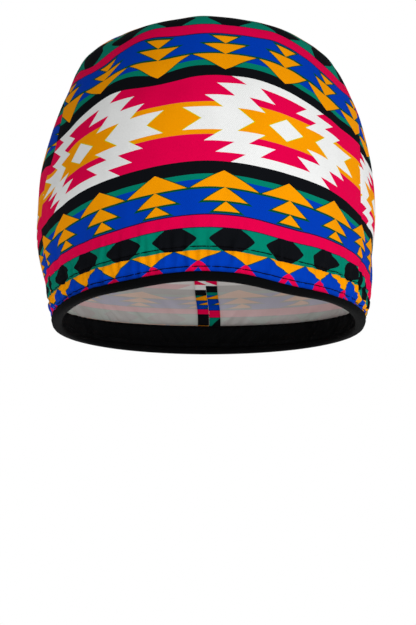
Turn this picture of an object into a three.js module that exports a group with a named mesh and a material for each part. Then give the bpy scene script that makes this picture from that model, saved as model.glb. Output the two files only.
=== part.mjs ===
// Soft scrub cap of thin printed cloth: a front panel, two back panels, a bound hem and a sweat band.
// Millimetres, +Z up. The brow faces -Y and the wearer's left side is towards +X. The origin is the
// centre of the head opening, where the cap sits on a head.
import * as THREE from 'three';

// Driving dimensions
const WALL = 1.2; // panel cloth with its seam allowances
const GAP = 0.3; // clearance between neighbouring pieces
const BINDING_RISE = 4.2; // visible height of the hem binding
const BINDING_WALL = 1.0;
const BAND_WALL = 1.0;
const BAND_TOP = 18.5; // rise of the sweat band's upper edge
const HEM_DIP = { depth: 1.6, angle: 38, spreadAngle: 26, fadesBy: 50 }; // a lower hem at the front right
const GATHERS = { folds: 9, depth: 1.1, from: 150, full: 192, until: 198 }; // folds at the crown seam
const WIDEST_CLEARANCE = 6; // degrees, where the rings close up at the ends of the crown seam

// Rows of numbers as objects with the columns' names
function table(columns, rows) {
  return rows.map((row) => Object.fromEntries(columns.map((name, i) => [name, row[i]])));
}

// The cap's form is a stack of closed egg-shaped rings from the hem to the crown seam.
// rise: cloth distance up the centre front. Each ring has its front and back point, the height of
// its widest place, half of its width, where along its depth that widest place lies (0 front, 1
// back), how far it leans to the right, and how far the wall leans in from upright, in degrees.
const RING_COLUMNS = [
  'rise', 'frontY', 'frontZ', 'sideZ', 'backY', 'backZ', 'half', 'widest', 'shift', 'lean',
];
const RINGS = table(RING_COLUMNS, [
  [0, -97, 19.7, -4.5, 88, -19.5, 81.2, 0.58, 0.6, 0],
  [26, -99, 45, 14.5, 95, 2, 86.2, 0.59, 0.9, 0],
  [57, -98.5, 76.5, 37.5, 99, 20, 90, 0.6, -1, 3],
  [78, -95.5, 97.3, 55.5, 99, 42, 90, 0.6, -0.7, 10],
  [100, -89.5, 118.3, 76, 95, 68, 88, 0.59, -0.2, 20],
  [116, -81.5, 132.6, 98, 89, 92, 83, 0.58, 0, 30],
  [131, -73, 145.3, 116.5, 82, 113, 75.8, 0.56, -0.2, 43],
  [139, -66, 150.2, 126.5, 74, 123, 70.5, 0.55, -0.5, 58],
  [160, -46, 152.3, 139, 55, 140, 60, 0.54, -0.5, 84],
  [205, 8, 148, 145, 8.3, 148, 46, 0.54, 0, 90],
]);
const CROWN = RINGS[RINGS.length - 1].rise;

// Where the side seams run: the angle round from the centre front, in degrees, at each rise.
const SEAMS = table(['rise', 'left', 'right'], [
  [0, 80, 77],
  [10, 77, 72.5],
  [26, 72, 71.5],
  [42, 72.5, 70],
  [54, 72, 63],
  [78, 68, 61],
  [90, 61.5, 61.5],
  [100, 60, 63],
  [113, 61.5, 68],
  [123, 67, 74],
  [131, 76, 80],
  [145, 84, 86],
  [170, 89, 89],
  [205, 90, 90],
]);

// Slack hollows in the worn cloth: the place, the depth, and the half spread up and round.
const DENTS = table(['rise', 'angle', 'depth', 'spreadRise', 'spreadAngle'], [
  [128, -78, 2.2, 14, 16],
  [138, -38, 1.6, 12, 14],
  [50, 84, 1.2, 14, 14],
  [150, 150, 2.0, 24, 26],
  [34, 172, 1.6, 14, 30],
]);

// Rows of facets up the panels and columns round them
const PANEL_ROWS = [
  8, 16, 26, 36, 46, 57, 68, 78, 89, 100, 108, 116, 124, 131, 135, 139, 144, 150, 160, 172, 184, 195,
];
const FRONT_COLUMNS = 36;
const BACK_COLUMNS = 20;
const HEM_SEGMENTS = 72;

// Plain cloth colours
const CRIMSON = 0xd00048;
const BLUE = 0x0040b0;
const GREEN = 0x008870;
const BLACK = 0x121316;
const BAND_BLACK = 0x161719;

const radians = THREE.MathUtils.degToRad;
const { smoothstep, euclideanModulo } = THREE.MathUtils;

// One column of a table, read at a rise by cubic steps through its rows.
function read(table, column, rise) {
  const slope = (i) => {
    const a = table[Math.max(i - 1, 0)];
    const b = table[Math.min(i + 1, table.length - 1)];
    return (b[column] - a[column]) / (b.rise - a.rise);
  };
  let i = 0;
  while (i < table.length - 2 && rise > table[i + 1].rise) i += 1;
  const low = table[i];
  const high = table[i + 1];
  const span = high.rise - low.rise;
  const u = (rise - low.rise) / span;
  const start = (1 + 2 * u) * (1 - u) ** 2 * low[column] + u * (1 - u) ** 2 * span * slope(i);
  const end = u * u * (3 - 2 * u) * high[column] + u * u * (u - 1) * span * slope(i + 1);
  return start + end;
}

function bump(offset, spread) {
  return Math.exp(-((offset / spread) ** 2));
}

// How far the cloth lies inside its smooth form, from dents and crown gathers.
function slack(rise, angle) {
  let depth = 0;
  for (const dent of DENTS) {
    const round = euclideanModulo(angle - radians(dent.angle) + Math.PI, 2 * Math.PI) - Math.PI;
    depth += dent.depth * bump(rise - dent.rise, dent.spreadRise) * bump(round, radians(dent.spreadAngle));
  }
  const ends = smoothstep(rise, GATHERS.until, CROWN);
  const gathered = smoothstep(rise, GATHERS.from, GATHERS.full) * (1 - ends);
  return depth + GATHERS.depth * gathered * (1 + Math.cos(2 * GATHERS.folds * angle)) / 2;
}

// A point of the cap: rise up the cloth, angle round from the centre front, depth outside the form.
function capPoint(rise, angle, outside = 0) {
  const lean = radians(read(RINGS, 'lean', rise));
  const out = outside - slack(rise, angle);
  const level = out * Math.cos(lean);
  const widest = read(RINGS, 'widest', rise);
  const turn = Math.cos(angle);
  const along = turn >= 0 ? widest * (1 - turn) : widest - (1 - widest) * turn;
  const frontY = read(RINGS, 'frontY', rise) - level;
  const backY = read(RINGS, 'backY', rise) + level;
  const x = (read(RINGS, 'half', rise) + level) * Math.sin(angle) + read(RINGS, 'shift', rise);
  const front = read(RINGS, 'frontZ', rise) * (along - widest) * (along - 1) / widest;
  const side = read(RINGS, 'sideZ', rise) * along * (along - 1) / (widest * (widest - 1));
  const back = read(RINGS, 'backZ', rise) * along * (along - widest) / (1 - widest);
  const dipHere = bump(angle - radians(HEM_DIP.angle), radians(HEM_DIP.spreadAngle));
  const dip = HEM_DIP.depth * dipHere * (1 - smoothstep(rise, 0, HEM_DIP.fadesBy));
  const z = front + side + back + out * Math.sin(lean) - dip;
  return new THREE.Vector3(x, frontY + (backY - frontY) * along, z);
}

// The angle that clears a seam by half a gap at this rise.
function clearance(rise, angle) {
  const step = 0.01;
  const reach = capPoint(rise, angle + step).distanceTo(capPoint(rise, angle - step)) / (2 * step);
  return Math.min(GAP / 2 / reach, radians(WIDEST_CLEARANCE));
}

function seamAngle(side, rise) {
  return radians(read(SEAMS, side, rise));
}

function body(points, faces) {
  const geometry = new THREE.BufferGeometry();
  geometry.setAttribute('position', new THREE.Float32BufferAttribute(points.flatMap((p) => p.toArray()), 3));
  geometry.setIndex(faces);
  geometry.computeVertexNormals();
  return geometry;
}

// A closed body from a grid of outer points and the matching grid of inner points.
// outer[row][column]; the rows run up, the columns run to the right as seen from outside.
function closedShell(outer, inner, wraps) {
  const rows = outer.length;
  const columns = outer[0].length;
  const points = [...outer.flat(), ...inner.flat()];
  const at = (layer, row, column) => layer * rows * columns + row * columns + (column % columns);
  const faces = [];
  const quad = (a, b, c, d) => faces.push(a, b, c, a, c, d);
  const across = wraps ? columns : columns - 1;
  for (let r = 0; r < rows - 1; r += 1) {
    for (let c = 0; c < across; c += 1) {
      quad(at(0, r, c), at(0, r, c + 1), at(0, r + 1, c + 1), at(0, r + 1, c));
      quad(at(1, r, c), at(1, r + 1, c), at(1, r + 1, c + 1), at(1, r, c + 1));
    }
  }
  for (let c = 0; c < across; c += 1) {
    quad(at(0, 0, c + 1), at(0, 0, c), at(1, 0, c), at(1, 0, c + 1));
    quad(at(0, rows - 1, c), at(0, rows - 1, c + 1), at(1, rows - 1, c + 1), at(1, rows - 1, c));
  }
  if (!wraps) {
    for (let r = 0; r < rows - 1; r += 1) {
      const end = columns - 1;
      quad(at(0, r, 0), at(0, r + 1, 0), at(1, r + 1, 0), at(1, r, 0));
      quad(at(0, r + 1, end), at(0, r, end), at(1, r, end), at(1, r + 1, end));
    }
  }
  return body(points, faces);
}

function grid(rises, angles, outside) {
  return rises.map((rise) => angles(rise).map((angle) => capPoint(rise, angle, outside)));
}

// A panel from one seam angle to the next, from inside the binding to the crown seam.
function panel(columns, startAt, endAt) {
  const rises = [BINDING_WALL + GAP, ...PANEL_ROWS, CROWN - GAP / 2];
  const angles = (rise) => {
    const start = startAt(rise) + clearance(rise, startAt(rise));
    const end = endAt(rise) - clearance(rise, endAt(rise));
    return Array.from({ length: columns + 1 }, (_, c) => start + (end - start) * c / columns);
  };
  return closedShell(grid(rises, angles, 0), grid(rises, angles, -WALL), false);
}

function ringAngles() {
  return Array.from({ length: HEM_SEGMENTS }, (_, c) => 2 * Math.PI * c / HEM_SEGMENTS);
}

// The sweat band lies inside the panels, all the way round the opening.
function sweatBand() {
  const rises = [BINDING_WALL + GAP, BAND_TOP / 2, BAND_TOP];
  const face = -WALL - GAP;
  return closedShell(grid(rises, ringAngles, face), grid(rises, ringAngles, face - BAND_WALL), true);
}

// The binding is folded up round the raw edges of the panels and the band: a channel section,
// swept round the hem. Each section point is a rise and a distance outside the form.
function hemBinding() {
  const outerFace = GAP;
  const innerFace = -WALL - GAP - BAND_WALL - GAP;
  const section = [
    { rise: BINDING_WALL / 2, out: outerFace + BINDING_WALL },
    { rise: BINDING_RISE, out: outerFace + BINDING_WALL },
    { rise: BINDING_RISE, out: outerFace },
    { rise: BINDING_WALL, out: outerFace },
    { rise: BINDING_WALL, out: innerFace },
    { rise: BINDING_RISE, out: innerFace },
    { rise: BINDING_RISE, out: innerFace - BINDING_WALL },
    { rise: BINDING_WALL / 2, out: innerFace - BINDING_WALL },
    { rise: 0, out: innerFace - BINDING_WALL / 2 },
    { rise: 0, out: outerFace + BINDING_WALL / 2 },
  ];
  const points = [];
  for (const angle of ringAngles()) {
    for (const corner of section) points.push(capPoint(corner.rise, angle, corner.out));
  }
  const faces = [];
  for (let s = 0; s < HEM_SEGMENTS; s += 1) {
    const here = s * section.length;
    const next = ((s + 1) % HEM_SEGMENTS) * section.length;
    for (let k = 0; k < section.length; k += 1) {
      const up = (k + 1) % section.length;
      faces.push(here + k, next + k, next + up, here + k, next + up, here + up);
    }
  }
  return body(points, faces);
}

function cloth(colour, roughness) {
  return new THREE.MeshStandardMaterial({ color: colour, roughness, metalness: 0, side: THREE.DoubleSide });
}

const cap = new THREE.Group();

function add(name, geometry, material) {
  const mesh = new THREE.Mesh(geometry, material);
  mesh.name = name;
  cap.add(mesh);
}

const leftSeam = (rise) => -seamAngle('left', rise);
const rightSeam = (rise) => seamAngle('right', rise);
add('front_panel', panel(FRONT_COLUMNS, leftSeam, rightSeam), cloth(CRIMSON, 0.8));
add('right_panel', panel(BACK_COLUMNS, rightSeam, () => Math.PI), cloth(BLUE, 0.8));
add('left_panel', panel(BACK_COLUMNS, () => -Math.PI, leftSeam), cloth(GREEN, 0.8));
add('hem_binding', hemBinding(), cloth(BLACK, 0.85));
add('sweat_band', sweatBand(), cloth(BAND_BLACK, 0.9));

export default cap;
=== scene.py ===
# Scrub cap of printed polyester: its panels, bound hem, sweat band and stitching.
# The form is worked out in millimetres, +Z up with the brow towards -Y, and made in metres.
import math

import bpy
import numpy as np
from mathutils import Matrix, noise


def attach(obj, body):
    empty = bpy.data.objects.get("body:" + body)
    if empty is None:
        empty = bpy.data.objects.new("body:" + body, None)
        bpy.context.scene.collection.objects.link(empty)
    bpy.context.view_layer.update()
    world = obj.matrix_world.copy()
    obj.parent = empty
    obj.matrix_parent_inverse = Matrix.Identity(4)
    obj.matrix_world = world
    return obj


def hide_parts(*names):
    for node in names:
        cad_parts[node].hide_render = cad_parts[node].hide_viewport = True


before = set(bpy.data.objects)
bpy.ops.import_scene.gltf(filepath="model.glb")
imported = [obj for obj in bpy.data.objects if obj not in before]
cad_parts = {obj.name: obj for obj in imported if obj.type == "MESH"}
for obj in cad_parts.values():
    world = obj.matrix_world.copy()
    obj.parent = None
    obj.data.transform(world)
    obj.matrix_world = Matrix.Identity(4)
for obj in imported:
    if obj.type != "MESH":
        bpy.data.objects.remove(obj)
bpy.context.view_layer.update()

MM = 0.001

# Photograph: its size in pixels, and where its camera stood
PHOTO_WIDTH = 416
PHOTO_HEIGHT = 625
PIXEL = 0.527  # millimetres of the cap to a pixel, in the plane through its middle
CAMERA_AWAY = 1100
CAMERA_HEIGHT = 4
CAMERA_SIDE = 0.3
SENSOR = 36

# Cloth and its seams
CLOTH = 0.6  # thickness of the printed cloth
TURN = 0.64  # radius of the cloth where it turns in at a seam
TURN_POINTS = 7
SEAM_GAP = 0.03
ALLOWANCE = 6.5  # cloth turned back inside each seam
FLAP = (1.9, 3.4, 5.0, ALLOWANCE)  # how far from the seam the points of the turned-in cloth lie
FLAP_START = 1.1  # cloth from the end of the turn to the first of those points
NARROWEST = 26  # a turned edge is never spread over fewer millimetres to a radian than this
PANEL_FOOT = 1.5  # the panels start this far up, inside the binding
FRONT_COLUMNS = 226
SIDE_COLUMNS = 112

# Hem: its binding, sweat band and topstitching
HEM_COLUMNS = 420
BINDING_RISE = 4.4
BAND_FOOT = 1.3
BAND_TOP = 18.5
BAND_FACE = 1.55  # depth of the band's outer face inside the form
BAND_WALL = 0.95
BAND_IN = -BAND_FACE - BAND_WALL
STITCH_ROWS = (7.0, 16.9)  # rises of the two rows of topstitching
STITCH = 2.6  # length of one stitch
STITCH_STRAIGHT = 0.8  # share of a stitch that lies flat
STITCH_PITCH = 2.5
THREAD = 0.26  # radius of the topstitch thread
THREAD_SIDES = 6

# The form: rise up the cloth at the centre front, front y and z, height at the widest place, back
# y and z, half width, place of the widest point (0 front, 1 back), lean right, lean in (degrees)
RISE, FRONT_Y, FRONT_Z, SIDE_Z, BACK_Y, BACK_Z, HALF, WIDEST, SHIFT, LEAN = range(10)
RINGS = np.array([
    [0, -97, 19.7, -4.5, 88, -19.5, 81.2, 0.58, 0.6, 0],
    [26, -99, 45, 14.5, 95, 2, 86.2, 0.59, 0.9, 0],
    [57, -98.5, 76.5, 37.5, 99, 20, 90, 0.6, -1, 3],
    [78, -95.5, 97.3, 55.5, 99, 42, 90, 0.6, -0.7, 10],
    [100, -89.5, 118.3, 76, 95, 68, 88, 0.59, -0.2, 20],
    [116, -81.5, 132.6, 98, 89, 92, 83, 0.58, 0, 30],
    [131, -73, 145.3, 116.5, 82, 113, 75.8, 0.56, -0.2, 43],
    [139, -66, 150.2, 126.5, 74, 123, 70.5, 0.55, -0.5, 58],
    [160, -46, 152.3, 139, 55, 140, 60, 0.54, -0.5, 84],
    [205, 8, 148, 145, 8.3, 148, 46, 0.54, 0, 90],
])
CROWN = 205
CROWN_EDGE = 1.4  # the plain rows of a panel end this far short of the crown seam

# Rows of a panel: the rise that each stretch reaches, and the step between its rows
ROW_STEPS = ((20, 0.95), (40, 1.3), (150, 1.7), (CROWN - CROWN_EDGE, 1.25))

# Side seams: rise, then the angle round from the centre front to the left and right seam
LEFT, RIGHT = 1, 2
SEAMS = np.array([
    [0, 80, 66],
    [10, 77, 65],
    [26, 72, 61.5],
    [34, 72.2, 65],
    [42, 72.5, 68],
    [54, 72, 63],
    [78, 68, 61],
    [90, 61.5, 61.5],
    [100, 60, 63],
    [113, 61.5, 68],
    [123, 67, 74],
    [131, 76, 80],
    [145, 84, 86],
    [170, 89, 89],
    [205, 90, 90],
])

# Slack hollows: rise, angle, depth, half spread up and half spread round
DENTS = (
    (128, -78, 2.2, 14, 16),
    (138, -38, 1.6, 12, 14),
    (50, 84, 1.2, 14, 14),
    (150, 150, 2.0, 24, 26),
    (34, 172, 1.6, 14, 30),
    (45, -9, 0.5, 28, 3),
    (45, 6, 0.4, 28, 2.5),
    (97, -9, 0.8, 6, 4),
    (101, -22, 0.7, 5, 12),
)
HEM_DIPS = ((38, 26, 1.6), (28, 15, 1.8), (-29, 14, 1.1))  # angle, half spread, depth
DIP_FADES = 50

# Crown gathers: they grow between two rises, and lie flat again at the crown seam
GATHERS = 9
GATHER_DEPTH = 1.1
GATHERS_GROW = (150, 192)
GATHERS_FADE = (198, CROWN)

# Relief of the worn cloth
PUFF = 0.7  # how far the hem stands proud between its rows of stitches
PUFF_EDGE = 3
GROOVE = 0.6  # how deep a row of stitches draws the cloth in
GROOVE_SPREAD = 1.0
BACK_SEAM_STILL = 0.06  # radians either side of the back seam that its allowances hold flat
# Folds: height, width, length, place in the noise, the rises between which they grow, and those
# between which they fade
FOLDS = (
    (2.0, 2.8, 14, 3.1, (2, 8), (STITCH_ROWS[1] + 1, STITCH_ROWS[1] + 16)),
    (0.9, 8, 34, 5.4, (14, 22), (24, 62)),
    (0.8, 24, 50, 7.7, (25, 60), None),
    (0.3, 9, 30, 9.2, (25, 50), None),
)

# How the print runs on the worn cap, apart from the soft mounds below
MERIDIANS = 125.0  # above this rise the print's columns run as meridians
SQUARE_FROM = 1.75  # angle in radians from which the print turns square to the back seam
SQUARE_TO = 100  # rise whose way round sets where the back seam cuts the print
PRINT_WAVE = 0.8  # height of the waves that the stitched hem puts in the print
PRINT_WAVE_FADES = (12, 26)
PRINT_WAVE_FOLD = (8, 12, 4.2)  # width, length and place in the noise

# Where wearing draws the print down the form: rise, angle, distance, half spread up and half
# spread round
PULLS_DOWN = (
    (57, -30, 1.0, 17, 26),
    (57, -64, 1.8, 14, 16),
    (57, 26, 0.6, 17, 20),
    (57, 60, 1.2, 14, 16),
    (46, 2, -1.5, 14, 14),
    (78, -30, 1.0, 9, 26),
    (28, -36, 1.0, 9, 16),
    (28, 27, 0.9, 9, 10),
    (15.5, -10, 1.1, 3.5, 90),
    (9, -1, -1.8, 4, 9),
    (9, -17, -1.0, 4, 8),
    (7, -46, 1.5, 5, 18),
    (9, 36, -2.0, 4, 24),
    (103, -34, -2.4, 10, 12),
    (104, -16, 3.6, 9, 9),
    (121, -12, 1.6, 8, 12),
    (105, -40, 1.0, 8, 8),
    (119, -40, 4.0, 8, 8),
    (102, -55, 3.2, 8, 10),
    (100, 12, -1.8, 9, 12),
    (105, 8, 1.8, 4.5, 12),
    (106, 30, 1.4, 4.5, 12),
    (53, 47, -1.2, 6, 10),
    (37, 62, -1.8, 8, 8),
    (101, 42, 1.4, 8, 10),
    (110, 54, 5.6, 16, 19),
    (126, 60, 3.2, 9, 16),
    (129, -49, 4.6, 8, 8),
    (130, -24, -2.2, 10, 12),
    (131, 28, -1.8, 9, 12),
    (33.5, 62, 1.7, 3.5, 4.5),
    (18, 80, 5.2, 12, 11),
    (18, 100, 3.0, 12, 14),
    (52, 84, -4.0, 10, 10),
    (146, 15, -6.0, 6, 50),
    (146, -60, -5.0, 6, 10),
    (148, -33, -8.0, 8, 12),
    (81, -59, 6.4, 13, 9),
    (108, -80, -9.0, 18, 12),
)
# The same for the print drawn to the left
PULLS_LEFT = (
    (106, 57, 10, 16, 24),
    (103, -58, -5.5, 8, 9),
    (119, -42, -3.5, 7, 9),
    (106, -35, 2.0, 8, 9),
    (80, -28, -1.8, 12, 9),
    (72, 44, -2.5, 8, 8),
    (78, -60, -13.0, 17, 8.5),
    (138, -54, 6.2, 7, 14),
    (138, -33, 2.6, 7, 10),
    (138, 8, -1.9, 7, 8),
    (138, 30, -6.0, 7, 14),
    (138, 56, -17.0, 7, 14),
    (98, -84, 9.0, 16, 12),
    (16, 84, 26.0, 14, 14),
    (16, 110, 14.0, 14, 22),
    (13.5, 55, 7.0, 5, 18),
    (37, 62, 2.6, 6, 8),
    (40, -12, 1.3, 12, 14),
    (44, -45, 1.2, 8, 10),
    (42, -66, 3.0, 12, 10),
    (48, 20, -1.1, 8, 10),
    (45, 55, -3.0, 10, 9),
)
RIGHT_PULLS_LEFT = ((20, 63, -15.0, 7, 5),)  # only on the right panel

# Where each panel was cut from the print: at some rises, how far its print stands down and to
# the left of a print that ran on round the cap
FRONT_CUT = ((0, 0, 0), (CROWN, 0, 0))
RIGHT_CUT = (
    (10, 3, -7),
    (19, 2.4, -6.5),
    (26, 1, -4),
    (34, 0.5, 8),
    (50, 0, 6),
    (76, 4.7, 16),
    (97, 4.5, 15),
    (106, 6, 11.5),
)
LEFT_CUT = (
    (20, -3, -9),
    (37, 0.6, -8.5),
    (50, 4, -5),
    (92, 10, 6),
    (114, 21.5, 8),
)


def read(rows, column, rise):
    """A column of a table at these rises, by cubic steps through its rows."""
    x = rows[:, RISE]
    y = rows[:, column]
    before = np.maximum(np.arange(len(x)) - 1, 0)
    after = np.minimum(np.arange(len(x)) + 1, len(x) - 1)
    slope = (y[after] - y[before]) / (x[after] - x[before])
    i = np.clip(np.searchsorted(x, rise) - 1, 0, len(x) - 2)
    span = x[i + 1] - x[i]
    u = (rise - x[i]) / span
    start = (1 + 2 * u) * (1 - u) ** 2 * y[i] + u * (1 - u) ** 2 * span * slope[i]
    end = u * u * (3 - 2 * u) * y[i + 1] + u * u * (u - 1) * span * slope[i + 1]
    return start + end


def bump(offset, spread):
    """A soft mound: 1 where the offset is 0, and nearly gone at twice the spread."""
    return np.exp(-((offset / spread) ** 2))


def ease(value, low, high):
    """Rises smoothly from 0 at low to 1 at high."""
    t = np.clip((value - low) / (high - low), 0, 1)
    return t * t * (3 - 2 * t)


def mounds(rows, rise, angle):
    """The sum of soft mounds, each a rise, an angle, a size and its two half spreads."""
    total = np.zeros(np.broadcast(rise, angle).shape)
    for at, turn, size, up, around in rows:
        apart = (angle - math.radians(turn) + math.pi) % (2 * math.pi) - math.pi
        total = total + size * bump(rise - at, up) * bump(apart, math.radians(around))
    return total


def slack(rise, angle):
    """How far the cloth lies inside its smooth form, from dents and crown gathers."""
    depth = mounds(DENTS, rise, angle)
    gathered = ease(rise, *GATHERS_GROW) * (1 - ease(rise, *GATHERS_FADE))
    return depth + GATHER_DEPTH * gathered * (1 + np.cos(2 * GATHERS * angle)) / 2


def hem_dip(rise, angle):
    """How far the cloth hangs lower than its smooth form, most of all at the hem."""
    total = 0
    for turn, wide, deep in HEM_DIPS:
        total = total + deep * bump(angle - math.radians(turn), math.radians(wide))
    return total * (1 - ease(rise, 0, DIP_FADES))


def cap_point(rise, angle, outside):
    """Points of the cap: rise up the cloth, angle round from the centre front, distance outside."""
    rise, angle, outside = np.broadcast_arrays(rise, angle, outside)
    lean = np.radians(read(RINGS, LEAN, rise))
    out = outside - slack(rise, angle)
    level = out * np.cos(lean)
    widest = read(RINGS, WIDEST, rise)
    turn = np.cos(angle)
    along = np.where(turn >= 0, widest * (1 - turn), widest - (1 - widest) * turn)
    front_y = read(RINGS, FRONT_Y, rise) - level
    back_y = read(RINGS, BACK_Y, rise) + level
    x = (read(RINGS, HALF, rise) + level) * np.sin(angle) + read(RINGS, SHIFT, rise)
    front = read(RINGS, FRONT_Z, rise) * (along - widest) * (along - 1) / widest
    side = read(RINGS, SIDE_Z, rise) * along * (along - 1) / (widest * (widest - 1))
    back = read(RINGS, BACK_Z, rise) * along * (along - widest) / (1 - widest)
    z = front + side + back + out * np.sin(lean) - hem_dip(rise, angle)
    return np.stack([x, front_y + (back_y - front_y) * along, z], -1)


TURNS = np.radians(np.linspace(-180, 180, 721))  # the angles at which the way round is measured


def measure_round(rise):
    """At one rise, the angles round the cap and the cloth distance from the centre front to each."""
    points = cap_point(rise, TURNS, 0.0)
    steps = np.linalg.norm(np.diff(points, axis=0), axis=1)
    length = np.concatenate([[0], np.cumsum(steps)])
    return TURNS, length - np.interp(0, TURNS, length)


def across_at(rise, angle):
    """Cloth distance from the centre front, for one rise and its row of angles."""
    return np.interp(angle, *measure_round(rise))


def way_round(rise):
    """Cloth distance from the centre front to the back seam, as the print has it."""
    length = measure_round(min(rise, MERIDIANS))[1]
    return (length[-1] - length[0]) / 2


def reach(rise, angle):
    """Millimetres of cloth to a radian at one rise and angle."""
    step = 0.01
    ends = cap_point(rise, np.array([angle - step, angle + step]), 0.0)
    return float(np.linalg.norm(ends[1] - ends[0]) / (2 * step))


def ripple(across, rise, wide, tall, place):
    """Smooth unevenness from -1 to 1 with folds about this wide and tall."""
    values = [noise.noise((a / wide, r / tall, place)) for a, r in zip(across.flat, rise.flat)]
    return np.array(values).reshape(across.shape)


def relief(rise, across):
    """How far the worn cloth stands proud of its smooth form: puckers, stitch grooves, slow waves."""
    rise, across = np.broadcast_arrays(rise, across)
    low, high = STITCH_ROWS
    between = ease(rise, low, low + PUFF_EDGE) * (1 - ease(rise, high - PUFF_EDGE, high))
    height = PUFF * between
    for tall, wide, long, place, grows, fades in FOLDS:
        shown = ease(rise, *grows)
        if fades:
            shown = shown * (1 - ease(rise, *fades))
        height = height + tall * shown * ripple(across, rise, wide, long, place)
    for row in STITCH_ROWS:
        height = height - GROOVE * bump(rise - row, GROOVE_SPREAD)
    return height


def lay(rise, angle, across, outside):
    """Finished points in metres, with the relief of the worn cloth, which dies out at the back seam."""
    loose = 1 - bump(np.abs(angle) - math.pi, BACK_SEAM_STILL)
    return cap_point(rise, angle, outside + loose * relief(rise, across)) * MM


# Meshes


def make_object(name, points, faces, corner_uv, materials):
    """A mesh object at the origin, smooth shaded, with its cloth millimetres as a UV map."""
    mesh = bpy.data.meshes.new(name)
    mesh.from_pydata(points.reshape(-1, 3).tolist(), [], faces)
    layer = mesh.uv_layers.new(name="cloth")
    layer.data.foreach_set("uv", corner_uv.reshape(-1).astype(np.float32))
    for material in materials:
        mesh.materials.append(material)
    mesh.polygons.foreach_set("use_smooth", [True] * len(mesh.polygons))
    piece = bpy.data.objects.new(name, mesh)
    bpy.context.scene.collection.objects.link(piece)
    return piece


def grid_faces(rows, columns, around=False, closed=False):
    """Quads of a grid of points that faces outwards, and the grid place of each of their corners.
    around joins the last column to the first, and closed joins the last row to the first."""
    r, c = np.meshgrid(
        np.arange(rows if closed else rows - 1),
        np.arange(columns if around else columns - 1),
        indexing="ij",
    )
    corner_rows = np.stack([r, r, r + 1, r + 1], -1).reshape(-1, 4)
    corner_columns = np.stack([c, c + 1, c + 1, c], -1).reshape(-1, 4)
    faces = (corner_rows % rows) * columns + corner_columns % columns
    return faces.tolist(), corner_rows, corner_columns


def thicken(piece):
    """Gives a sheet its thickness inwards, with the reverse of the cloth as its second material."""
    solid = piece.modifiers.new("thickness", "SOLIDIFY")
    solid.thickness = CLOTH * MM
    solid.offset = -1
    solid.material_offset = 1
    bpy.ops.object.select_all(action="DESELECT")
    piece.select_set(True)
    bpy.context.view_layer.objects.active = piece
    bpy.ops.object.modifier_apply(modifier=solid.name)


def turned_edge():
    """The cloth's way round a seam edge and back inside: distance from the seam, depth, and length."""
    bend = np.radians(np.linspace(0, 180, TURN_POINTS))
    flap = np.array(FLAP)
    side = np.concatenate([SEAM_GAP / 2 + TURN * (1 - np.sin(bend)), flap])
    depth = np.concatenate([-TURN * (1 - np.cos(bend)), np.full(len(flap), -2 * TURN)])
    length = TURN * bend
    length = np.concatenate([length, length[-1] + flap - flap[0] + FLAP_START])
    return side, depth, length


def panel_rows():
    """The rises of a panel's plain rows, which stand closest near the hem."""
    stretches = []
    foot = PANEL_FOOT
    for top, step in ROW_STEPS:
        stretches.append(np.arange(foot, top, step))
        foot = top
    return np.concatenate(stretches)


def row_angles(rise, first, last, columns, side):
    """The angles of a panel's row from seam to seam, with its turned edges at both ends."""
    near = side / max(reach(rise, first), NARROWEST)
    far = side / max(reach(rise, last), NARROWEST)
    middle = np.linspace(first + near[0], last - far[0], columns + 2)[1:-1]
    return np.concatenate([first + near[::-1], middle, last - far])


def print_across(rises, angles, length):
    """How far across the print each point of a panel lies, before it is cut or drawn."""
    edge = len(length)
    # On the crown the columns run as meridians, and the gathers take up the cloth.
    shown = np.array([across_at(min(rise, MERIDIANS), row) for rise, row in zip(rises, angles)])
    # Behind the sides each row is eased to the same print at the back seam, as on a panel cut on
    # the grain.
    spare = np.array([way_round(SQUARE_TO) - way_round(rise) for rise in rises])
    shown = shown + ease(np.abs(angles), SQUARE_FROM, math.pi) * np.sign(angles) * spare[:, None]
    shown[:, :edge] = shown[:, edge - 1 : edge] - length[::-1]
    shown[:, -edge:] = shown[:, -edge : -edge + 1] + length
    return shown


def panel(name, start, end, columns, cut, drawn=()):
    """A panel between two seams, its edges turned in at the seams and at the crown.
    drawn holds the panel's own soft mounds that draw its print to the left."""
    side, depth, length = turned_edge()
    body = panel_rows()
    rises = np.concatenate([body, CROWN - side])
    row_depth = np.concatenate([np.zeros(len(body)), depth])
    row_up = np.concatenate([body, CROWN - side[0] + length])
    column_depth = np.concatenate([depth[::-1], np.zeros(columns), depth])
    angles = np.array([row_angles(rise, start(rise), end(rise), columns, side) for rise in rises])
    across = np.array([across_at(rise, row) for rise, row in zip(rises, angles)])
    points = lay(rises[:, None], angles, across, row_depth[:, None] + column_depth[None])

    level = rises[:, None] + 0 * angles
    at, cut_down, cut_left = np.transpose(cut)
    shown = print_across(rises, angles, length) + np.interp(row_up, at, cut_left)[:, None]
    shown = shown + mounds(PULLS_LEFT + drawn, level, angles)
    height = row_up[:, None] + np.interp(row_up, at, cut_down)[:, None]
    height = height + mounds(PULLS_DOWN, level, angles)
    waved = PRINT_WAVE * (1 - ease(level, *PRINT_WAVE_FADES)) * ripple(across, level, *PRINT_WAVE_FOLD)
    uv = np.stack([shown, height + waved], -1)

    faces, corner_rows, corner_columns = grid_faces(*angles.shape)
    corner_uv = uv[corner_rows, corner_columns]
    piece = make_object(name, points, faces, corner_uv, [face_cloth, reverse_cloth])
    thicken(piece)
    return piece


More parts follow.
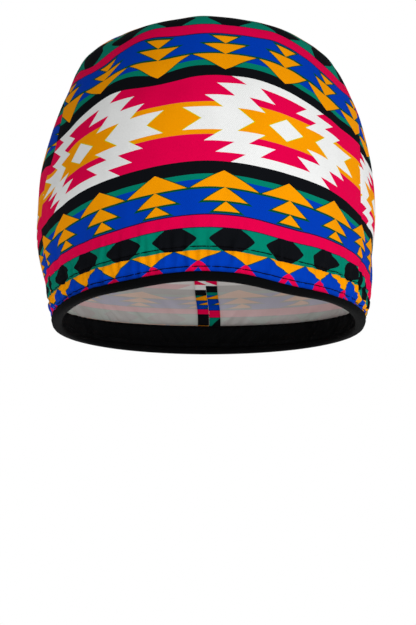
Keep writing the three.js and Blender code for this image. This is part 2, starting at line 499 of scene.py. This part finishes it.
def hoop(name, section, material, sway):
    """A closed section of (rise, outside) swept all the way round the hem. It is listed clockwise
    where outside is to the right, and taken the other way here so that its faces point outwards."""
    section = section[::-1]
    angles = np.linspace(-np.pi, np.pi, HEM_COLUMNS, endpoint=False)
    rise = np.array([p[0] for p in section])[:, None]
    outside = np.array([p[1] for p in section])[:, None]
    across = np.array([across_at(max(r, 0), angles) for r in rise[:, 0]])
    rise_here, outside_here = sway(rise, outside, across)
    points = lay(rise_here, angles[None], across, outside_here)
    faces, corner_rows, corner_columns = grid_faces(*across.shape, around=True, closed=True)
    steps = np.linalg.norm(np.diff(np.array(section + section[:1]), axis=0), axis=1)
    up = np.concatenate([[0], np.cumsum(steps)])
    girth = across_at(BINDING_RISE, np.append(angles, np.pi))
    corner_uv = np.stack([girth[corner_columns], up[corner_rows]], -1)
    return make_object(name, points, faces, corner_uv, [material])


# Nodes


def linear(code):
    """An sRGB hex colour as linear red, green, blue and alpha."""
    parts = [int(code[i : i + 2], 16) / 255 for i in (1, 3, 5)]
    return [p / 12.92 if p <= 0.04045 else ((p + 0.055) / 1.055) ** 2.4 for p in parts] + [1.0]


def add(tree, kind, *inputs, named=None, **settings):
    """Adds a node with its settings, and fills its inputs with values or links from other nodes."""
    node = tree.nodes.new("ShaderNode" + kind)
    for key, value in settings.items():
        setattr(node, key, value)
    pairs = list(zip(node.inputs, inputs))
    pairs += [(node.inputs[key], value) for key, value in (named or {}).items()]
    for socket, value in pairs:
        if isinstance(value, bpy.types.Node):
            value = value.outputs[0]
        if isinstance(value, bpy.types.NodeSocket):
            tree.links.new(value, socket)
        else:
            socket.default_value = value
    return node


# Print: distances in millimetres up the cloth, counted away from the middle of the wide band
BAND_MIDDLE = 78.9
BAND_HALF = 21.8
HEM_ROW = 63.1  # where the hem row starts
PRINT_HALF = 78.0  # from the middle of the band to where the print turns and runs back
CRIMSON = "#E5004A"
ORANGE = "#FA9D00"
LIME = "#D8CF00"
BLUE = "#003CB5"
GREEN = "#00816A"
DARK_GREEN = "#064F2A"
WHITE = "#F1F2F1"
BLACK = "#0E1014"
NAVY = "#1B1238"
STRIPES = (
    (BAND_HALF, BLACK),
    (28.5, GREEN),
    (31.3, BLUE),
    (46.9, NAVY),
    (47.4, CRIMSON),
    (52.8, NAVY),
    (53.2, GREEN),
    (HEM_ROW, BLUE),
)

# Wide band: half widths at its middle, how they change with each millimetre away from it, and
# how far a side steps in or out over one tooth
TOOTH_STEP = 5.7
BAND_PITCH = 117.0  # from one hourglass to the next, with a star half way
HOURGLASS_AT = -16.2
HOURGLASS_HALF = 14.1
HOURGLASS_SLOPE = 1.009
HOURGLASS_TOOTH = -14.95
HOURGLASS_SHOULDER = 4.75  # it is this much wider from the second tooth on
STAR_HALF = 18.5
STAR_SLOPE = -1.053
STAR_TOOTH = 14.4
STAR_TOP = 3 * TOOTH_STEP
HEART_HALF = 8.1  # height of the orange hearts from the middle
EYE_HALF = 10.05
EYE_SLOPE = -1.78
EDGING = 0.7  # width of the thin lime lines

# Trees: apex, base and half width of each of the three triangles
TREES = ((26.5, 34.9, 16.0), (34.9, 41.1, 10.4), (41.4, 45.7, 6.3))
TREE_AT = 9.0
TREE_PITCH = 33.7
TREE_OUTLINE = 0.95
TREE_OUTLINE_FROM = 28.0

# Black lozenges on the green row
LOZENGE_AT = 11.2
LOZENGE_PITCH = 28.6
LOZENGE_MIDDLE = 58.05
LOZENGE_TALL = 5.05  # from its middle to its flat top
LOZENGE_HALF = 12.4
LOZENGE_SLOPE = -1.62
LOZENGE_ROUNDING = 0.5

# Hem row: orange triangles that point to the hem, over crimson ones that point to the band
HEM_AT = 18.2
HEM_PITCH = 23.5
CROSSING = 70.9  # where the tips of the orange triangles lie
HEM_SLOPE = 1.4
HEM_OUTLINE = 0.9
LOWER_OVERLAP = 0.4
LOWER_HALF = 17.0
HEART_DROP = 2.6  # the blue hearts start this far below the tips
BLUE_HEART_HALF = 12.6
LOWER_BASE = PRINT_HALF + 4  # past where the print turns, so that no base shows


def repeat(tree, across, centre, pitch):
    """Distance across to the nearest of the motifs that stand this pitch apart."""
    offset = add(tree, "Math", across, centre, operation="SUBTRACT")
    return add(tree, "Math", offset, pitch / 2, operation="PINGPONG")


def triangle(tree, across, away, apex, base, half):
    """How far a point lies inside a triangle that widens from its apex to its base."""
    slope = half / (base - apex)
    width = add(tree, "Math", away, slope, -apex * slope, operation="MULTIPLY_ADD")
    beside = add(tree, "Math", width, across, operation="SUBTRACT")
    short = add(tree, "Math", base, away, operation="SUBTRACT")
    return add(tree, "Math", beside, short, operation="MINIMUM")


def paint(tree, below, inside, code, level=0.0):
    """Lays a colour over what is below, where the inside distance is above a level."""
    mask = add(tree, "Math", inside, level, operation="GREATER_THAN")
    return add(tree, "MixRGB", mask, below, linear(code))


def draw_wide_band(tree, colour, across, away):
    """Hourglasses and eight-pointed stars with toothed sides and orange hearts."""
    hour = repeat(tree, across, HOURGLASS_AT, BAND_PITCH)
    star = add(tree, "Math", BAND_PITCH / 2, hour, operation="SUBTRACT")
    steps = add(tree, "Math", away, TOOTH_STEP, operation="DIVIDE")
    tooth = add(tree, "Math", steps, operation="FRACT")
    stepped = add(tree, "Math", away, TOOTH_STEP, operation="GREATER_THAN")

    hour_wide = add(tree, "Math", tooth, HOURGLASS_TOOTH, HOURGLASS_HALF, operation="MULTIPLY_ADD")
    hour_wide = add(tree, "Math", away, HOURGLASS_SLOPE, hour_wide, operation="MULTIPLY_ADD")
    hour_wide = add(tree, "Math", stepped, HOURGLASS_SHOULDER, hour_wide, operation="MULTIPLY_ADD")
    hour_in = add(tree, "Math", hour_wide, hour, operation="SUBTRACT")
    band_in = add(tree, "Math", BAND_HALF, away, operation="SUBTRACT")
    hour_in = add(tree, "Math", hour_in, band_in, operation="MINIMUM")

    star_wide = add(tree, "Math", tooth, STAR_TOOTH, STAR_HALF, operation="MULTIPLY_ADD")
    star_wide = add(tree, "Math", away, STAR_SLOPE, star_wide, operation="MULTIPLY_ADD")
    star_in = add(tree, "Math", star_wide, star, operation="SUBTRACT")
    star_top = add(tree, "Math", STAR_TOP, away, operation="SUBTRACT")
    star_in = add(tree, "Math", star_in, star_top, operation="MINIMUM")

    motif = add(tree, "Math", hour_in, star_in, operation="MAXIMUM")
    colour = paint(tree, colour, motif, CRIMSON)
    heart = add(tree, "Math", HEART_HALF, away, operation="SUBTRACT")
    lime = add(tree, "Math", motif, heart, operation="MINIMUM")
    colour = paint(tree, colour, lime, LIME)
    inset = add(tree, "Math", motif, EDGING, operation="SUBTRACT")
    orange = add(tree, "Math", inset, heart, operation="MINIMUM")
    colour = paint(tree, colour, orange, ORANGE)
    eye = add(tree, "Math", away, EYE_SLOPE, EYE_HALF, operation="MULTIPLY_ADD")
    eye = add(tree, "Math", eye, star, operation="SUBTRACT")
    colour = paint(tree, colour, eye, LIME, level=-EDGING)
    return paint(tree, colour, eye, WHITE)


def draw_trees(tree, colour, across, away):
    """Three stacked triangles that point to the band, with thin dark green outlines."""
    beside = repeat(tree, across, TREE_AT, TREE_PITCH)
    tiers = [triangle(tree, beside, away, *tier) for tier in TREES]
    tiers_in = add(tree, "Math", tiers[0], tiers[1], operation="MAXIMUM")
    tiers_in = add(tree, "Math", tiers_in, tiers[2], operation="MAXIMUM")
    near = add(tree, "Math", tiers_in, TREE_OUTLINE, operation="ADD")
    outline = add(tree, "Math", away, TREE_OUTLINE_FROM, operation="SUBTRACT")
    outline = add(tree, "Math", outline, near, operation="MINIMUM")
    colour = paint(tree, colour, outline, DARK_GREEN)
    return paint(tree, colour, tiers_in, ORANGE)


def draw_lozenges(tree, colour, across, away):
    """Black lozenges with flat tops and rounded tips."""
    lozenge = repeat(tree, across, LOZENGE_AT, LOZENGE_PITCH)
    off_row = add(tree, "Math", away, LOZENGE_MIDDLE, operation="SUBTRACT")
    off_row = add(tree, "Math", off_row, operation="ABSOLUTE")
    rounded = add(tree, "Math", off_row, off_row, LOZENGE_ROUNDING, operation="MULTIPLY_ADD")
    rounded = add(tree, "Math", rounded, operation="SQRT")
    width = add(tree, "Math", rounded, LOZENGE_SLOPE, LOZENGE_HALF, operation="MULTIPLY_ADD")
    beside = add(tree, "Math", width, lozenge, operation="SUBTRACT")
    row_in = add(tree, "Math", LOZENGE_TALL, off_row, operation="SUBTRACT")
    lozenge_in = add(tree, "Math", beside, row_in, operation="MINIMUM")
    return paint(tree, colour, lozenge_in, BLACK)


def draw_hem_row(tree, colour, across, away):
    """Orange triangles over crimson ones, every other crimson one with a blue heart."""
    small = repeat(tree, across, HEM_AT, HEM_PITCH)
    widening = add(tree, "Math", away, -HEM_SLOPE, CROSSING * HEM_SLOPE, operation="MULTIPLY_ADD")
    beside = add(tree, "Math", widening, small, operation="SUBTRACT")
    row_in = add(tree, "Math", away, HEM_ROW, operation="SUBTRACT")
    upper_in = add(tree, "Math", beside, row_in, operation="MINIMUM")
    near = add(tree, "Math", upper_in, HEM_OUTLINE, operation="ADD")
    near = add(tree, "Math", near, row_in, operation="MINIMUM")
    colour = paint(tree, colour, near, DARK_GREEN)
    colour = paint(tree, colour, upper_in, ORANGE)
    lower_in = triangle(tree, small, away, CROSSING - LOWER_OVERLAP, LOWER_BASE, LOWER_HALF)
    colour = paint(tree, colour, lower_in, CRIMSON)
    second = repeat(tree, across, HEM_AT - HEM_PITCH, 2 * HEM_PITCH)
    heart_in = triangle(tree, second, away, CROSSING + HEART_DROP, LOWER_BASE, BLUE_HEART_HALF)
    return paint(tree, colour, heart_in, BLUE)


def draw_print():
    """The geometric print as a node group, from the cloth's millimetres."""
    tree = bpy.data.node_groups.new("geometric_print", "ShaderNodeTree")
    tree.interface.new_socket("Color", in_out="OUTPUT", socket_type="NodeSocketColor")
    cloth = add(tree, "UVMap", uv_map="cloth")
    place = add(tree, "SeparateXYZ", cloth)
    across = place.outputs[0]
    raised = add(tree, "Math", place.outputs[1], BAND_MIDDLE, operation="SUBTRACT")
    away = add(tree, "Math", raised, PRINT_HALF, operation="PINGPONG")
    colour = add(tree, "RGB")
    colour.outputs[0].default_value = linear(WHITE)
    for start, code in STRIPES:
        colour = paint(tree, colour, away, code, level=start)
    for draw in (draw_wide_band, draw_trees, draw_lozenges, draw_hem_row):
        colour = draw(tree, colour, across, away)
    result = tree.nodes.new("NodeGroupOutput")
    tree.links.new(colour.outputs[0], result.inputs[0])
    return tree


# Materials
RIB_ANGLE = 38  # degrees that the twill's ribs are turned by
WAVE_PITCH = 2 * math.pi / 20  # from one band to the next in a wave texture whose scale is 1
IOR = 1.5
REVERSE_GROUND = 0.74  # share of the ground cloth's colour in what the reverse shows
THREAD_SHADE = 0.16  # how far the brightness wavers from thread to thread
SLOW_SHADE = 0.12  # the same over a few centimetres
RIB_SHARE = 0.5  # height of the ribs beside that of the thread unevenness
LINT_CONTRAST = 1.6
LINT_COVER = 0.45
GROUND = "#DDDDDA"  # the undyed reverse of the printed cloth
LINT = "#0A0B0C"


def start_material(name):
    """An empty node material."""
    material = bpy.data.materials.new(name)
    material.use_nodes = True
    material.node_tree.nodes.clear()
    return material, material.node_tree


def finish_material(tree, bump_node, **sockets):
    """The surface shader and the material's output."""
    named = {key.replace("_", " "): value for key, value in sockets.items()}
    shader = add(tree, "BsdfPrincipled", named={**named, "Normal": bump_node})
    add(tree, "OutputMaterial", shader)


def weave(tree, thread, depth):
    """Fine diagonal ribs and thread unevenness, as a bump. A real thread is about 0.3 mm apart and
    too fine to show at this size, so it is drawn coarser."""
    cloth = add(tree, "UVMap", uv_map="cloth")
    turned = add(tree, "Mapping", cloth, named={"Rotation": (0, 0, math.radians(RIB_ANGLE))})
    ribs = add(
        tree, "TexWave", turned, wave_type="BANDS",
        named={"Scale": WAVE_PITCH / thread, "Distortion": 1.5, "Detail": 2.0, "Detail Scale": 2.0},
    )
    fuzz = add(tree, "TexNoise", cloth, named={"Scale": 1.1, "Detail": 5.0, "Roughness": 0.65})
    rib, threads = ribs.outputs["Fac"], fuzz.outputs["Fac"]
    height = add(tree, "Math", rib, RIB_SHARE, threads, operation="MULTIPLY_ADD")
    return add(tree, "Bump", named={"Strength": 1.0, "Distance": depth * MM, "Height": height}), threads


def printed_polyester(group, reverse):
    """Smooth polyester twill, dye printed on its face: soft sheen, low gloss, bright inks. Its
    reverse is the pale ground cloth with the print showing through faintly."""
    name = "printed_polyester_twill_reverse" if reverse else "printed_polyester_twill"
    material, tree = start_material(name)
    inks = add(tree, "Group", node_tree=group)
    ribs, threads = weave(tree, thread=0.8, depth=0.10)
    if reverse:
        inks = add(tree, "MixRGB", REVERSE_GROUND, inks, linear(GROUND))
    uneven = add(tree, "Math", threads, THREAD_SHADE, 1 - THREAD_SHADE / 2, operation="MULTIPLY_ADD")
    cloth = add(tree, "UVMap", uv_map="cloth")
    slow = add(tree, "TexNoise", cloth, named={"Scale": 0.035, "Detail": 2.0}).outputs["Fac"]
    shade = add(tree, "Math", slow, SLOW_SHADE, 1 - SLOW_SHADE / 2, operation="MULTIPLY_ADD")
    shade = add(tree, "Math", shade, uneven, operation="MULTIPLY")
    tint = add(tree, "CombineXYZ", shade, shade, shade)
    colour = add(tree, "MixRGB", 1.0, inks, tint, blend_type="MULTIPLY")
    finish_material(
        tree, ribs, Base_Color=colour, Roughness=0.75, IOR=IOR, Specular_IOR_Level=0.02,
    )
    return material


def black_cloth(name, code, thread, depth, rough, sheen):
    """Black dyed cloth: deep colour that only its nap and threads lighten."""
    material, tree = start_material(name)
    ribs, threads = weave(tree, thread, depth)
    lint = add(tree, "Math", threads, 0.5, operation="SUBTRACT")
    lint = add(
        tree, "Math", lint, LINT_CONTRAST, LINT_COVER, operation="MULTIPLY_ADD", use_clamp=True,
    )
    colour = add(tree, "MixRGB", lint, linear(code), linear(LINT))
    finish_material(
        tree, ribs, Base_Color=colour, Roughness=rough, IOR=IOR, Specular_IOR_Level=0.035,
        Sheen_Weight=sheen, Sheen_Roughness=0.5,
    )
    return material


def bias_tape():
    """Plain woven cotton, cut on the bias and dyed black: matt, with a fine slanting rib."""
    return black_cloth(
        "black_cotton_bias_tape", "#040405", thread=0.9, depth=0.12, rough=0.85, sheen=0.0,
    )


def knitted_band():
    """A knitted band dyed black: coarser than the tape, and a little paler for its nap."""
    return black_cloth(
        "black_knitted_band", "#0B0C0E", thread=1.3, depth=0.25, rough=0.92, sheen=0.01,
    )


def sewing_thread():
    """Spun polyester thread dyed black: a little smoother and glossier than the tape."""
    return black_cloth(
        "black_polyester_thread", "#030304", thread=0.5, depth=0.05, rough=0.7, sheen=0.0,
    )


inks = draw_print()
face_cloth = printed_polyester(inks, reverse=False)
reverse_cloth = printed_polyester(inks, reverse=True)
binding_cloth = bias_tape()
band_cloth = knitted_band()
thread_finish = sewing_thread()


# Pieces


def left_seam(rise):
    return -math.radians(float(read(SEAMS, LEFT, np.float64(rise))))


def right_seam(rise):
    return math.radians(float(read(SEAMS, RIGHT, np.float64(rise))))


def back_seam_from_left(rise):
    return -math.pi


def back_seam_from_right(rise):
    return math.pi


def make_front_panel():
    return panel("front_panel_cloth", left_seam, right_seam, FRONT_COLUMNS, FRONT_CUT)


def make_right_panel():
    return panel(
        "right_panel_cloth", right_seam, back_seam_from_right, SIDE_COLUMNS, RIGHT_CUT,
        drawn=RIGHT_PULLS_LEFT,
    )


def make_left_panel():
    return panel("left_panel_cloth", back_seam_from_left, left_seam, SIDE_COLUMNS, LEFT_CUT)


# The binding's folded section, as rise and distance outside, and how far its tape is uneven
BINDING_SECTION = [
    (4.35, 0.34), (4.65, 0.75), (4.4, 1.18), (3.4, 1.38), (2.3, 1.46), (1.2, 1.36), (0.3, 1.02),
    (-0.2, 0.4), (-0.38, -0.5), (-0.38, -1.7), (-0.15, -2.8), (0.4, -3.45), (1.3, -3.78),
    (2.3, -3.86), (3.4, -3.8), (4.1, -3.6), (4.35, -3.25), (4.15, -2.85), (3.3, -2.82),
    (1.5, -2.8), (1.0, -2.3), (0.92, -1.3), (0.98, -0.3), (1.4, 0.24), (3.2, 0.3),
]
TAPE_MIDDLE = -1.2  # distance outside of the middle of the fold
UPPER_EDGES = (1.5, 4.0)  # rises between which the unevenness of the upper edges grows
EDGE_WAVE = 0.28
EDGE_LEVEL = 2.0  # rise at which both upper edges take their waves from the noise
EDGE_FOLD = (17, 9, 1.3)  # width, length and place in the noise
TAPE_PUFF = 0.16
TAPE_FOLD = (6, 6, 2.9)
LAP = 0.35  # how much each side thickens where the ends lap
LAP_AT = 3  # from the centre back to the middle of the lap
LAP_SPREAD = 4
LOW_EDGE = 1.0  # how much lower the upper edge lies at the front right
LOW_EDGE_AT = 78
LOW_EDGE_SPREAD = 34


def wander(rise, outside, across):
    """The folded tape is a little uneven: its upper edges wave, and its ends lap at the back."""
    rise, outside, across = np.broadcast_arrays(rise, outside, across)
    upper = ease(rise, *UPPER_EDGES)
    level = np.full_like(across, EDGE_LEVEL)
    wave = ripple(across, level, *EDGE_FOLD)
    puff = ripple(across, rise, *TAPE_FOLD)
    girth = np.abs(across).max()
    lap = bump(girth - np.abs(across) - LAP_AT, LAP_SPREAD)
    low = LOW_EDGE * upper * bump(across - LOW_EDGE_AT, LOW_EDGE_SPREAD)
    thicker = np.sign(outside - TAPE_MIDDLE) * (TAPE_PUFF * puff + LAP * lap)
    return rise + EDGE_WAVE * upper * wave - low, outside + thicker


def make_hem_binding():
    return hoop("hem_binding_tape", BINDING_SECTION, binding_cloth, wander)


# The sweat band's section, as rise and distance outside: its foot, inner face, top and outer face
BAND_SECTION = [
    (BAND_FOOT, -BAND_FACE), (BAND_FOOT, BAND_IN), (3.0, BAND_IN), (5.0, BAND_IN - 0.05),
    (7.0, BAND_IN), (9.0, BAND_IN - 0.2), (11.5, BAND_IN - 0.3), (14.0, BAND_IN - 0.2),
    (16.5, BAND_IN), (17.6, BAND_IN - 0.1), (18.2, BAND_IN + 0.05),
    (BAND_TOP, -BAND_FACE - BAND_WALL / 2),
    (18.2, -BAND_FACE), (17.0, -BAND_FACE), (12.0, -BAND_FACE), (7.0, -BAND_FACE),
]


def steady(rise, outside, across):
    """The band has no unevenness of its own."""
    return np.broadcast_arrays(rise, outside, across)[:2]


def make_sweat_band():
    return hoop("sweat_band_knit", BAND_SECTION, band_cloth, steady)


def draw_out_end(mesh, end, step, shrink, drop):
    """Draws out the thread at one end, +1 or -1 along x, and makes it thinner there."""
    bpy.ops.object.mode_set(mode="EDIT")
    bpy.ops.mesh.select_mode(type="FACE")
    bpy.ops.mesh.select_all(action="DESELECT")
    bpy.ops.object.mode_set(mode="OBJECT")
    tip = max(mesh.polygons, key=lambda face: face.center.x * end)
    tip.select = True
    bpy.ops.object.mode_set(mode="EDIT")
    bpy.ops.mesh.extrude_region_move(TRANSFORM_OT_translate={"value": (end * step, 0, drop)})
    bpy.ops.transform.resize(value=(shrink, shrink, shrink))
    bpy.ops.object.mode_set(mode="OBJECT")


def in_order(points, faces):
    """The same mesh with its points and faces listed in a fixed order, because an extrusion lists
    them in a new order each run."""
    order = np.lexsort(points.round(4).T)
    place = np.argsort(order).tolist()
    listed = []
    for face in faces:
        corners = [place[i] for i in face]
        first = corners.index(min(corners))
        listed.append(corners[first:] + corners[:first])
    return points[order], sorted(listed)


def one_stitch():
    """A stitch: a short thread that rises out of the cloth and dips back. Along x, up z."""
    bpy.ops.object.select_all(action="DESELECT")
    bpy.ops.mesh.primitive_cylinder_add(
        vertices=THREAD_SIDES, radius=THREAD, depth=STITCH * STITCH_STRAIGHT,
        rotation=(0, math.pi / 2, 0), end_fill_type="NGON",
    )
    stitch = bpy.context.object
    bpy.ops.object.transform_apply(location=False, rotation=True, scale=False)
    mesh = stitch.data
    for end in (-1, 1):
        draw_out_end(mesh, end, step=0.16, shrink=0.8, drop=-0.12)
        draw_out_end(mesh, end, step=0.1, shrink=0.5, drop=-0.16)
    points = np.array([v.co for v in mesh.vertices])
    faces = [list(face.vertices) for face in mesh.polygons]
    bpy.data.objects.remove(stitch)
    return in_order(points, faces)


def topstitching(name, height, facing):
    """Two rows of stitches laid round the hem at this distance outside, facing out (1) or in (-1)."""
    points, faces = one_stitch()
    if facing < 0:
        # A stitch that faces in is a mirror image, so its faces are turned to point outwards.
        faces = [face[::-1] for face in faces]
    laid = []
    for row in STITCH_ROWS:
        turns, length = measure_round(row)
        count = int((length[-1] - length[0]) / STITCH_PITCH)
        middles = length[0] + (np.arange(count) + 0.5) * (length[-1] - length[0]) / count
        along = middles[:, None] + points[None, :, 0]
        angle = np.interp(along, length, turns)
        rise = row + points[None, :, 1] + 0 * along
        outside = height + facing * points[None, :, 2] + 0 * along
        laid.append(lay(rise, angle, along, outside))
    laid = np.concatenate(laid)
    every = [[i + k * len(points) for i in face] for k in range(len(laid)) for face in faces]
    corners = sum(len(face) for face in every)
    return make_object(name, laid, every, np.zeros((corners, 2)), [thread_finish])


def make_outer_stitches():
    return topstitching("outer_topstitching", height=0.12, facing=1)


def make_inner_stitches():
    return topstitching("inner_topstitching", height=BAND_IN - 0.1, facing=-1)


front_panel = make_front_panel()
right_panel = make_right_panel()
left_panel = make_left_panel()
hem_binding = make_hem_binding()
sweat_band = make_sweat_band()
outer_stitches = make_outer_stitches()
inner_stitches = make_inner_stitches()


# What each piece stands for: its node and slot in the part, and its flat size in metres with, for
# a cut that is no rectangle, its area in square metres
SHEETS = (
    (front_panel, "front_panel", "printed_cloth", (0.280, 0.212), 0.046),
    (right_panel, "right_panel", "printed_cloth", (0.172, 0.212), 0.030),
    (left_panel, "left_panel", "printed_cloth", (0.172, 0.212), 0.030),
    (hem_binding, "hem_binding", "binding_cloth", (0.545, 0.0125), None),
    (sweat_band, "sweat_band", "band_cloth", (0.545, 0.018), None),
)
for piece, node, slot, flat, area in SHEETS:
    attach(piece, "root")
    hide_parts(node)
for piece in (outer_stitches, inner_stitches):
    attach(piece, "root")


# Studio, in metres
FLOOR_SIZE = 3.7
FLOOR_DROP = 0.45
FLOOR_GLOW = 0.66
AIR_LIGHT = 0.35  # how brightly the air lights the cap, where the camera sees it as 1
CAP_MIDDLE = (0, 0, 0.08)


def look_at(thing, place, target):
    """Puts a thing at its place, turned so that it faces the target."""
    thing.location = place
    direction = np.array(target) - np.array(place)
    flat = math.hypot(direction[0], direction[1])
    thing.rotation_euler = (
        math.atan2(flat, -direction[2]),
        0,
        math.atan2(-direction[0], direction[1]),
    )


def softbox(name, place, target, size, power):
    """A rectangular lamp that faces the target."""
    light = bpy.data.lights.new(name, "AREA")
    light.shape = "RECTANGLE"
    light.size, light.size_y = size
    light.energy = power
    lamp = bpy.data.objects.new(name, light)
    bpy.context.scene.collection.objects.link(lamp)
    look_at(lamp, place, target)


def studio_floor():
    """A lit white floor well below the cap."""
    bpy.ops.object.select_all(action="DESELECT")
    bpy.ops.mesh.primitive_plane_add(size=FLOOR_SIZE, location=(0, 0, -FLOOR_DROP))
    plane = bpy.context.object
    plane.name = "studio_floor"
    finish, tree = start_material("lit_white_floor")
    shader = add(tree, "BsdfPrincipled", named={
        "Base Color": linear("#F4F4F4"),
        "Roughness": 0.9,
        "Emission Color": linear("#FFFFFF"),
        "Emission Strength": FLOOR_GLOW,
    })
    add(tree, "OutputMaterial", shader)
    plane.data.materials.append(finish)
    return plane


def studio_air():
    """The backdrop is seen white, and the air lights the cap less than that."""
    world = bpy.data.worlds.new("studio_air")
    world.use_nodes = True
    bpy.context.scene.world = world
    tree = world.node_tree
    background = tree.nodes["Background"]
    seen = add(tree, "LightPath").outputs["Is Camera Ray"]
    strength = add(tree, "Math", seen, 1 - AIR_LIGHT, AIR_LIGHT, operation="MULTIPLY_ADD")
    tree.links.new(strength.outputs[0], background.inputs["Strength"])
    background.inputs["Color"].default_value = (1, 1, 1, 1)


def photo_camera():
    """The camera that took the photo, level and facing the brow."""
    data = bpy.data.cameras.new("photo_camera")
    data.sensor_width = SENSOR
    data.lens = SENSOR * CAMERA_AWAY / (PIXEL * max(PHOTO_WIDTH, PHOTO_HEIGHT))
    camera = bpy.data.objects.new("photo_camera", data)
    camera.location = (CAMERA_SIDE * MM, -CAMERA_AWAY * MM, CAMERA_HEIGHT * MM)
    camera.rotation_euler = (math.pi / 2, 0, 0)
    bpy.context.scene.collection.objects.link(camera)
    bpy.context.scene.camera = camera


floor = studio_floor()
studio_air()
softbox("right_softbox", place=(0.75, -1.33, 0.38), target=CAP_MIDDLE, size=(0.9, 1.1), power=10.5)
photo_camera()
bpy.context.scene.view_settings.view_transform = "Standard"
